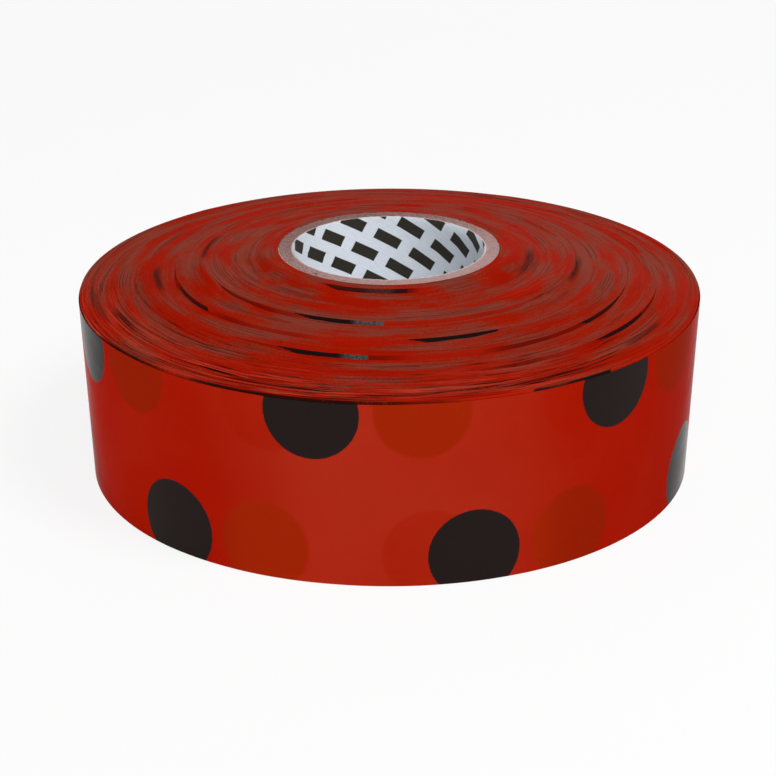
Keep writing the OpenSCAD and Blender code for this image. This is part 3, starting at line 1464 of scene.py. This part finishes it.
@dataclass
class WoundTape:
    """The turns under the outer one, whose edges are one spiral band of lands and risers on each end face.

    Attributes:
        spiral: The spiral of the upper face.
        rise: Height of the core over the rim.
        step_drop: Drop at each step and at the rim.
        rim_from: Share of the wound depth from which the rim drops.
        rim_dash_at: Bearing of a dot on the film that the rim bares.
        lower_turns: Number of turns that are drawn on the lower face.
        segments: Pieces in a turn.
        lift: How much less the face has dropped at the rim than its steps give.
        wander: Height by which single turns wander.
        drift: Height by which groups of turns wander.
        single: The noise that single turns follow.
        group: The noise that groups of turns follow.
        loose: How far single turns wander at the core and at the rim, as shares of wander.
        loose_from: Shares of the wound depth between which they go from one to the other.
        tight: Share of that on the side away from loose_at.
        loose_at: Bearing where the turns are loosest.
        loose_round: Cosines of the angle from there between which turns are tight and loose.
        held_in: Turns from the core between which the wander begins.
        held_out: Turns from the rim over which it ends.
        settle: Turns over which a sharp step drops.
        ease: Share of all turns over which a soft step drops.
        breaks: The noise that breaks up the sharp stretch of a step.
        break_round: How often it changes around the roll.
        break_apart: How far apart it is read for two steps.
        breaking: How strong it is.
        sharp_span: Levels between which a step turns from soft to sharp.
        follow_from: Shares of a turn between which the rim starts to follow the outer turn outwards.
        follow_to: Shares of a turn between which it stops.
        shows_from: Heights of a riser at which its film starts to show and shows fully.
        upper_seed: Picks the upper face's wander.
        lower_seed: Picks the lower face's wander.
        crease: Angle between two faces past which their edge is sharp.
        weld: Distance within which points are joined.
    """

    spiral: Spiral = Spiral()
    taper: float = WALL_TAPER
    tape_w: float = TAPE_W
    rise: float = CORE_RISE
    step_drop: float = 0.7
    steps: tuple[Step, ...] = (Step(0.045, -102.5, -95.0, 0.8), Step(0.36, -105.3, -100.0, 0.2),
                               Step(0.51, -73.4, -120.0, 0.2), Step(0.63, -31.0, -70.0, 0.2),
                               Step(0.78, -34.0, -20.0, 0.2))
    rim_from: float = 0.86
    rim_dash_at: float = -95.0
    lower_turns: int = 44
    segments: int = 240
    lift: float = 0.5
    wander: float = 0.48
    drift: float = 0.9
    single: Streaks = Streaks(0.55, 4.0, seed=0.0)
    group: Streaks = Streaks(0.08, 0.9, seed=4.0)
    loose: Span = (0.25, 2.2)
    loose_from: Span = (0.5, 0.9)
    tight: float = 0.35
    loose_at: float = -90.0
    loose_round: Span = (0.3, 0.9)
    held_in: Span = (1.0, 4.0)
    held_out: float = 2.0
    settle: float = 0.12
    ease: float = 0.1
    breaks: Grain = Grain(1.0, seed=0.0, detail=4.0, rough=0.7)
    break_round: float = 2.2
    break_apart: float = 3.7
    breaking: float = 1.6
    sharp_span: Span = (0.1, 0.9)
    follow_from: Span = (0.5, 0.501)
    follow_to: Span = (0.98, 1.0)
    shows_from: Span = (0.04, 0.2)
    upper_seed: float = 12.0
    lower_seed: float = 31.0
    crease: float = 25.0
    weld: float = 0.0002
    finish: WoundEdgeFinish = field(init=False)

    def __post_init__(self) -> None:
        """Gives the finish the same spiral as the mesh."""
        self.finish = WoundEdgeFinish(self.spiral)

    def step_turns(self, count: int) -> list[int]:
        """The turns at which a face with so many turns steps down."""
        return [round(1 + step.at * count) for step in self.steps]

    def phases(self) -> list[float]:
        """Works out where the dots lie in each group of turns, so that one is at the bearing of its dash.

        Returns:
            Each group's shift along the film.
        """
        ends = self.step_turns(self.spiral.turns) + [self.spiral.turns]
        bearings = [step.dash_at for step in self.steps] + [self.rim_dash_at]
        turns = [end - 2 + ((bearing - self.spiral.start) / 360) % 1 for end, bearing in zip(ends, bearings)]
        return [-self.spiral.film_length(n) % self.finish.dots.pitch for n in turns]

    def fall(self, turn: Field, count: int, drop: Field, seed: float, angle: Field) -> Field:
        """How far the edges have dropped at a turn, with the small wander of each turn.

        Args:
            turn: The turn, with its part turn.
            count: Number of turns on the face.
            drop: Height of one step.
            seed: Picks the wander of this face.
            angle: Bearing of the point, in radians.

        Returns:
            The drop from the core's end, in millimetres.
        """
        slope = self.rise - (len(self.steps) + 1) * self.step_drop
        depth = ((turn - 1.0) / (count - 1)).between(0.0, 1.0)
        fallen = (depth / self.rim_from).between(0.0, 1.0) * slope
        fallen = fallen + ((depth - self.rim_from) / (1 - self.rim_from)).between(0.0, 1.0) * drop
        for place, (step, at) in enumerate(zip(self.steps, self.step_turns(count))):
            facing = (angle - math.radians(step.sharp_at)).cosine().ramp(step.sharp_from, 1.0)
            spot = combine(angle.cosine() * self.break_round, angle.sine() * self.break_round,
                           place * self.break_apart)
            broken = self.breaks.at(spot, seed) - 0.5
            sharp = (facing + broken * self.breaking).ramp(*self.sharp_span)
            soft_drop = turn.ramp(at, at + self.ease * count)
            sharp_drop = turn.ramp(at, at + self.settle)
            fallen = fallen + (soft_drop + (sharp_drop - soft_drop) * sharp) * drop
        part = turn * (self.spiral.turns / count)
        single = self.single.at(part, angle, seed) - 0.5
        group = self.group.at(part, angle, seed) - 0.5
        front = (angle - math.radians(self.loose_at)).cosine().ramp(*self.loose_round, self.tight, 1.0)
        loose = depth.ramp(*self.loose_from, *self.loose) * front
        held_ends = turn.ramp(*self.held_in) * turn.ramp(count - self.held_out, count, 1.0, 0.0)
        return fallen + (single * loose * self.wander + group * self.drift) * held_ends - depth * self.lift

    @staticmethod
    def edge_radius(inner: Field, outer: Field, turn: Field, side: Field, count: int) -> Field:
        """Radius of a land's inner edge, where side is 0, or of its outer edge, where side is 1."""
        return inner + (outer - inner) * ((turn - 1.0 + side) / count).between(0.0, 1.0)

    def mesh(self) -> bpy.types.Mesh:
        """Grows both end faces and the walls between them from one grid.

        The grid's lines run around the roll, out over the upper face and back over the lower one. Two lines
        bound each turn's land, and the faces between two lands are a riser. The end of a turn meets the start
        of the next, so that welding makes one spiral.

        Returns:
            The closed mesh.
        """
        recipe = Recipe("wound_tape")
        segments = recipe.given("Segments", self.segments)
        inner = recipe.given("Inner radius", self.spiral.inner_r)
        outer = recipe.given("Upper radius", self.spiral.outer_r)
        taper = recipe.given("Taper", self.taper)
        width = recipe.given("Tape width", self.tape_w)
        rise = recipe.given("Rise", self.rise)
        drop = recipe.given("Step drop", self.step_drop)
        upper, lower = 2 * (self.spiral.turns + 1), 2 * (self.lower_turns + 1)
        grid = recipe.node("GeometryNodeMeshGrid", Vertices_X=upper + lower + 1, Vertices_Y=segments + 1)
        index = recipe.node("GeometryNodeInputIndex")
        line = (index / (segments + 1)).floor()
        share = (index - line * (segments + 1)) / segments
        column = line.remainder(upper + lower)
        angle = share * FULL_TURN + math.radians(self.spiral.start)
        follow = ((share * FULL_TURN).cosine() + 1.0) * share.ramp(*self.follow_from)
        follow = follow * share.ramp(*self.follow_to, 1.0, 0.0)
        rim = outer + follow * (TURN_STEP / 2)

        turn = (column / 2).floor()
        side = column - turn * 2
        upper_turn = turn + share
        upper_r = self.edge_radius(inner, rim, upper_turn, side, self.spiral.turns)
        upper_z = width + rise - self.fall(upper_turn, self.spiral.turns, drop, self.upper_seed, angle)

        back = (column - upper) / 2
        lower_turn = back.floor() * -1.0 + self.lower_turns + share
        lower_side = (back - back.floor()) * -2.0 + 1.0
        lower_r = self.edge_radius(inner, rim - taper, lower_turn, lower_side, self.lower_turns)
        lower_z = rise - self.fall(lower_turn, self.lower_turns, drop, self.lower_seed, angle)

        top = column.below(upper)
        radius = (lower_r + (upper_r - lower_r) * top) * MM
        height = (lower_z + (upper_z - lower_z) * top) * MM
        spot = combine(radius * angle.cosine(), radius * angle.sine(), height)
        shape = recipe.node("GeometryNodeSetPosition", Geometry=grid, Position=spot)

        strip = (index / segments).floor()
        face_turn = (strip / 2).floor()
        tall = recipe.node("GeometryNodeInputMeshFaceArea") / (outer * MM * MM * FULL_TURN) * segments
        riser = (strip - face_turn * 2) * tall.ramp(*self.shows_from)
        group_starts = [0] + self.step_turns(self.spiral.turns)
        shifts = [face_turn.reached(start) * float(shift)
                  for start, shift in zip(group_starts, np.diff(self.phases(), prepend=0.0))]
        phase = total(shifts)
        for name, value in (("turn", face_turn), ("riser", riser), ("phase", phase)):
            shape = recipe.store(shape, name, Domain.FACE, value)
        shape = recipe.store(shape, "height", Domain.POINT, side)
        shape = recipe.node("GeometryNodeMergeByDistance", Geometry=shape, Distance=self.weld * MM)
        mesh = recipe.make(shape, self.finish)
        smooth(mesh, self.crease)
        return mesh

    def build(self) -> None:
        """Builds the wound tape."""
        show("wound_tape", self.mesh(), self.finish, Body.ROLL, "tape_winding")


@dataclass
class OuterFilm:
    """The film's last turn and its free end, which follow half circles whose centre moves out.

    Attributes:
        turn_in: Radius of the film's inner face at the upper rim, where the last turn starts.
        turn_step: How much further out the film lies after one turn.
        base: Height of the film's lower edge.
        free_deg: Angle that the free end covers.
        bend_before: Length of film ahead of the peel line that is built with the free end.
        bend_after: Length of film past the peel line; not used.
        rim_r: Radius at which lengths along the film are measured.
        front_at: Bearing from which they count.
        ripples: Height, number in a turn and phase in radians of each wave along the film's edges.
        still_at: Share of the film's width that has no waves.
        rows: Points across the film.
        turn_pieces: Pieces along the last turn.
        end_pieces: Pieces along the free end.
    """

    turn_in: float = 50.476
    turn_step: float = TURN_STEP
    film_t: float = 0.076
    tape_w: float = TAPE_W
    taper: float = WALL_TAPER
    base: float = 0.06
    peel_at: float = PEEL_AT
    free_deg: float = 40.86
    bend_before: float = 2.5
    bend_after: float = 7.0
    rim_r: float = 50.8
    front_at: float = 270.0
    ripples: tuple[Point, ...] = ((0.05, 5, 0.7), (0.03, 13, 2.1), (0.015, 37, 0.0))
    still_at: float = 0.3
    rows: int = 13
    turn_pieces: int = 356
    end_pieces: int = 64
    finish: FilmFinish = FilmFinish()

    def path(self, turned: np.ndarray) -> tuple[np.ndarray, np.ndarray]:
        """The film's inner face at the upper rim.

        Args:
            turned: Angle along the film from the start of the last turn.

        Returns:
            Shift of the half turn's centre towards the peel line, and its radius.
        """
        half = np.floor(turned / 180)
        centre = np.where(half % 2 == 0, 0.0, self.turn_step / 2)
        return centre, self.turn_in + half * self.turn_step / 2

    def mesh(self, name: str, start: float, end: float, count: int) -> bpy.types.Mesh:
        """Builds a stretch of film between two angles, with its length and width written on its points.

        Args:
            name: The mesh's name.
            start: First angle from the start of the last turn.
            end: Last angle.
            count: Number of pieces along it.

        Returns:
            The closed mesh of the stretch.
        """
        turned, share = np.meshgrid(np.linspace(start, end, count + 1), np.linspace(0, 1, self.rows),
                                    indexing="ij")
        centre, radius = self.path(turned)
        peel = math.radians(self.peel_at)
        bearing = np.radians(turned + self.peel_at)
        wave = sum(size * np.sin(number * bearing + phase) for size, number, phase in self.ripples)
        height = self.base + share * self.tape_w + wave * (share - self.still_at)
        wall = radius - self.taper * (1 - height / self.tape_w)
        sheets = []
        for depth in (self.film_t, 0.0):
            x = centre * math.cos(peel) + (wall + depth) * np.cos(bearing)
            y = centre * math.sin(peel) + (wall + depth) * np.sin(bearing)
            sheets.append(np.stack([x, y, height], -1))
        mesh = sheet_mesh(name, *sheets)
        along = np.radians(turned + self.peel_at - self.front_at) * self.rim_r
        for title, values in (("along", along), ("across", share * self.tape_w)):
            layer = mesh.attributes.new(title, "FLOAT", Domain.POINT.value)
            layer.data.foreach_set("value", np.tile(values.ravel(), len(sheets)).astype(np.float32))
        return mesh

    def build(self) -> None:
        """Builds the outer turn and the free end, which runs on past the peel line."""
        root = 360 - math.degrees(self.bend_before / self.rim_r)
        turn = self.mesh("outer_turn", 0, root, self.turn_pieces)
        show("outer_turn", turn, self.finish, Body.ROLL, "tape_outer_turn")
        end = self.mesh("free_end_film", root, 360 + self.free_deg, self.end_pieces)
        tail = show("free_end_film", end, self.finish, None, "tape_free_end")
        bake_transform(tail)


@dataclass(frozen=True)
class Lamp:
    """A soft lamp that faces the roll.

    Attributes:
        name: The lamp's name.
        at: Its place.
        wide: Its level side.
        tall: Its other side.
        power: Its power in watts.
    """

    name: str
    at: Point
    wide: float
    tall: float
    power: float

    def hang(self, target: Vector) -> None:
        """Hangs the lamp so that it faces a point.

        Args:
            target: The point, in metres.
        """
        light = bpy.data.lights.new(self.name, "AREA")
        light.shape = "RECTANGLE"
        light.size = self.wide * MM
        light.size_y = self.tall * MM
        light.energy = self.power
        holder = bpy.data.objects.new(self.name, light)
        holder.location = Vector(self.at) * MM
        holder.rotation_euler = (target - holder.location).to_track_quat("-Z", "Y").to_euler()
        bpy.context.scene.collection.objects.link(holder)


@dataclass
class Studio:
    """A white floor, soft lamps and the camera of the photo.

    Attributes:
        camera_at: The camera's place.
        dip: How far it looks down from level.
        roll: How far it is turned about its line of sight.
        focal_px: Its focal length, in pixels of the photo.
        image_px: The photo's width in pixels.
        sensor: Width of its sensor.
        near_clip: Distance from which it sees.
        floor_half: Half the floor's side.
        floor_z: The floor's height, just under the roll.
        ambient: Strength of the even light in the room.
        sky_colour: Colour of that light.
        lamp_aim: Height on the core's axis that the lamps face.
    """

    camera_at: Point = (0.3, -376.0, 167.2)
    dip: float = 22.45
    roll: float = 0.198
    focal_px: float = 2440.0
    image_px: float = 776.0
    sensor: float = 36.0
    near_clip: float = 10.0
    floor_half: float = 3000.0
    floor_z: float = -0.05
    ambient: float = 0.2
    sky_colour: Colour = (1.0, 1.0, 1.0)
    lamp_aim: float = 20.0
    lamps: tuple[Lamp, ...] = (Lamp("key", (343, -287, 683), 300, 300, 4.2),
                               Lamp("front", (30, -745, 450), 400, 140, 2.2),
                               Lamp("left", (-830, -160, 55), 400, 80, 2.9),
                               Lamp("rear", (100, 850, 120), 400, 160, 2.4))

    def floor(self) -> None:
        """Lays the floor."""
        mesh = bpy.data.meshes.new("floor")
        half = self.floor_half
        sides = ((-half, -half), (half, -half), (half, half), (-half, half))
        corners = np.array([(x, y, self.floor_z) for x, y in sides])
        mesh.from_pydata((corners * MM).tolist(), [], [(0, 1, 2, 3)])
        mesh.materials.append(FloorFinish().material())
        sweep = bpy.data.objects.new("floor", mesh)
        bpy.context.scene.collection.objects.link(sweep)

    def sky(self) -> None:
        """Lights the room evenly and shows white behind the roll."""
        world = bpy.data.worlds.new("studio")
        bpy.context.scene.world = world
        world.use_nodes = True
        tree = world.node_tree
        back = tree.nodes["Background"]
        feed(tree, back.inputs["Color"], self.sky_colour)
        feed(tree, back.inputs["Strength"], seen_rays(tree) * (1 - self.ambient) + self.ambient)

    def camera(self) -> None:
        """Sets the camera where the photo was taken from."""
        lens = bpy.data.cameras.new("camera")
        lens.sensor_width = self.sensor
        lens.lens = self.focal_px / self.image_px * self.sensor
        lens.clip_start = self.near_clip * MM
        eye = bpy.data.objects.new("camera", lens)
        eye.location = Vector(self.camera_at) * MM
        eye.rotation_euler = Euler((math.radians(90 - self.dip), math.radians(self.roll), 0))
        bpy.context.scene.collection.objects.link(eye)
        bpy.context.scene.camera = eye

    def build(self) -> None:
        """Sets up the whole studio."""
        bpy.context.scene.view_settings.view_transform = "Standard"
        self.floor()
        self.sky()
        for lamp in self.lamps:
            lamp.hang(Vector((0, 0, self.lamp_aim)) * MM)
        self.camera()


def main() -> None:
    """Builds the core, the wound tape, the outer film and the studio."""
    logging.basicConfig(level=logging.INFO, format="%(name)s: %(message)s")
    for assembly in (PaperCore(), StartStrip(), WoundTape(), OuterFilm(), Studio()):
        assembly.build()


if __name__ == "__main__":
    main()
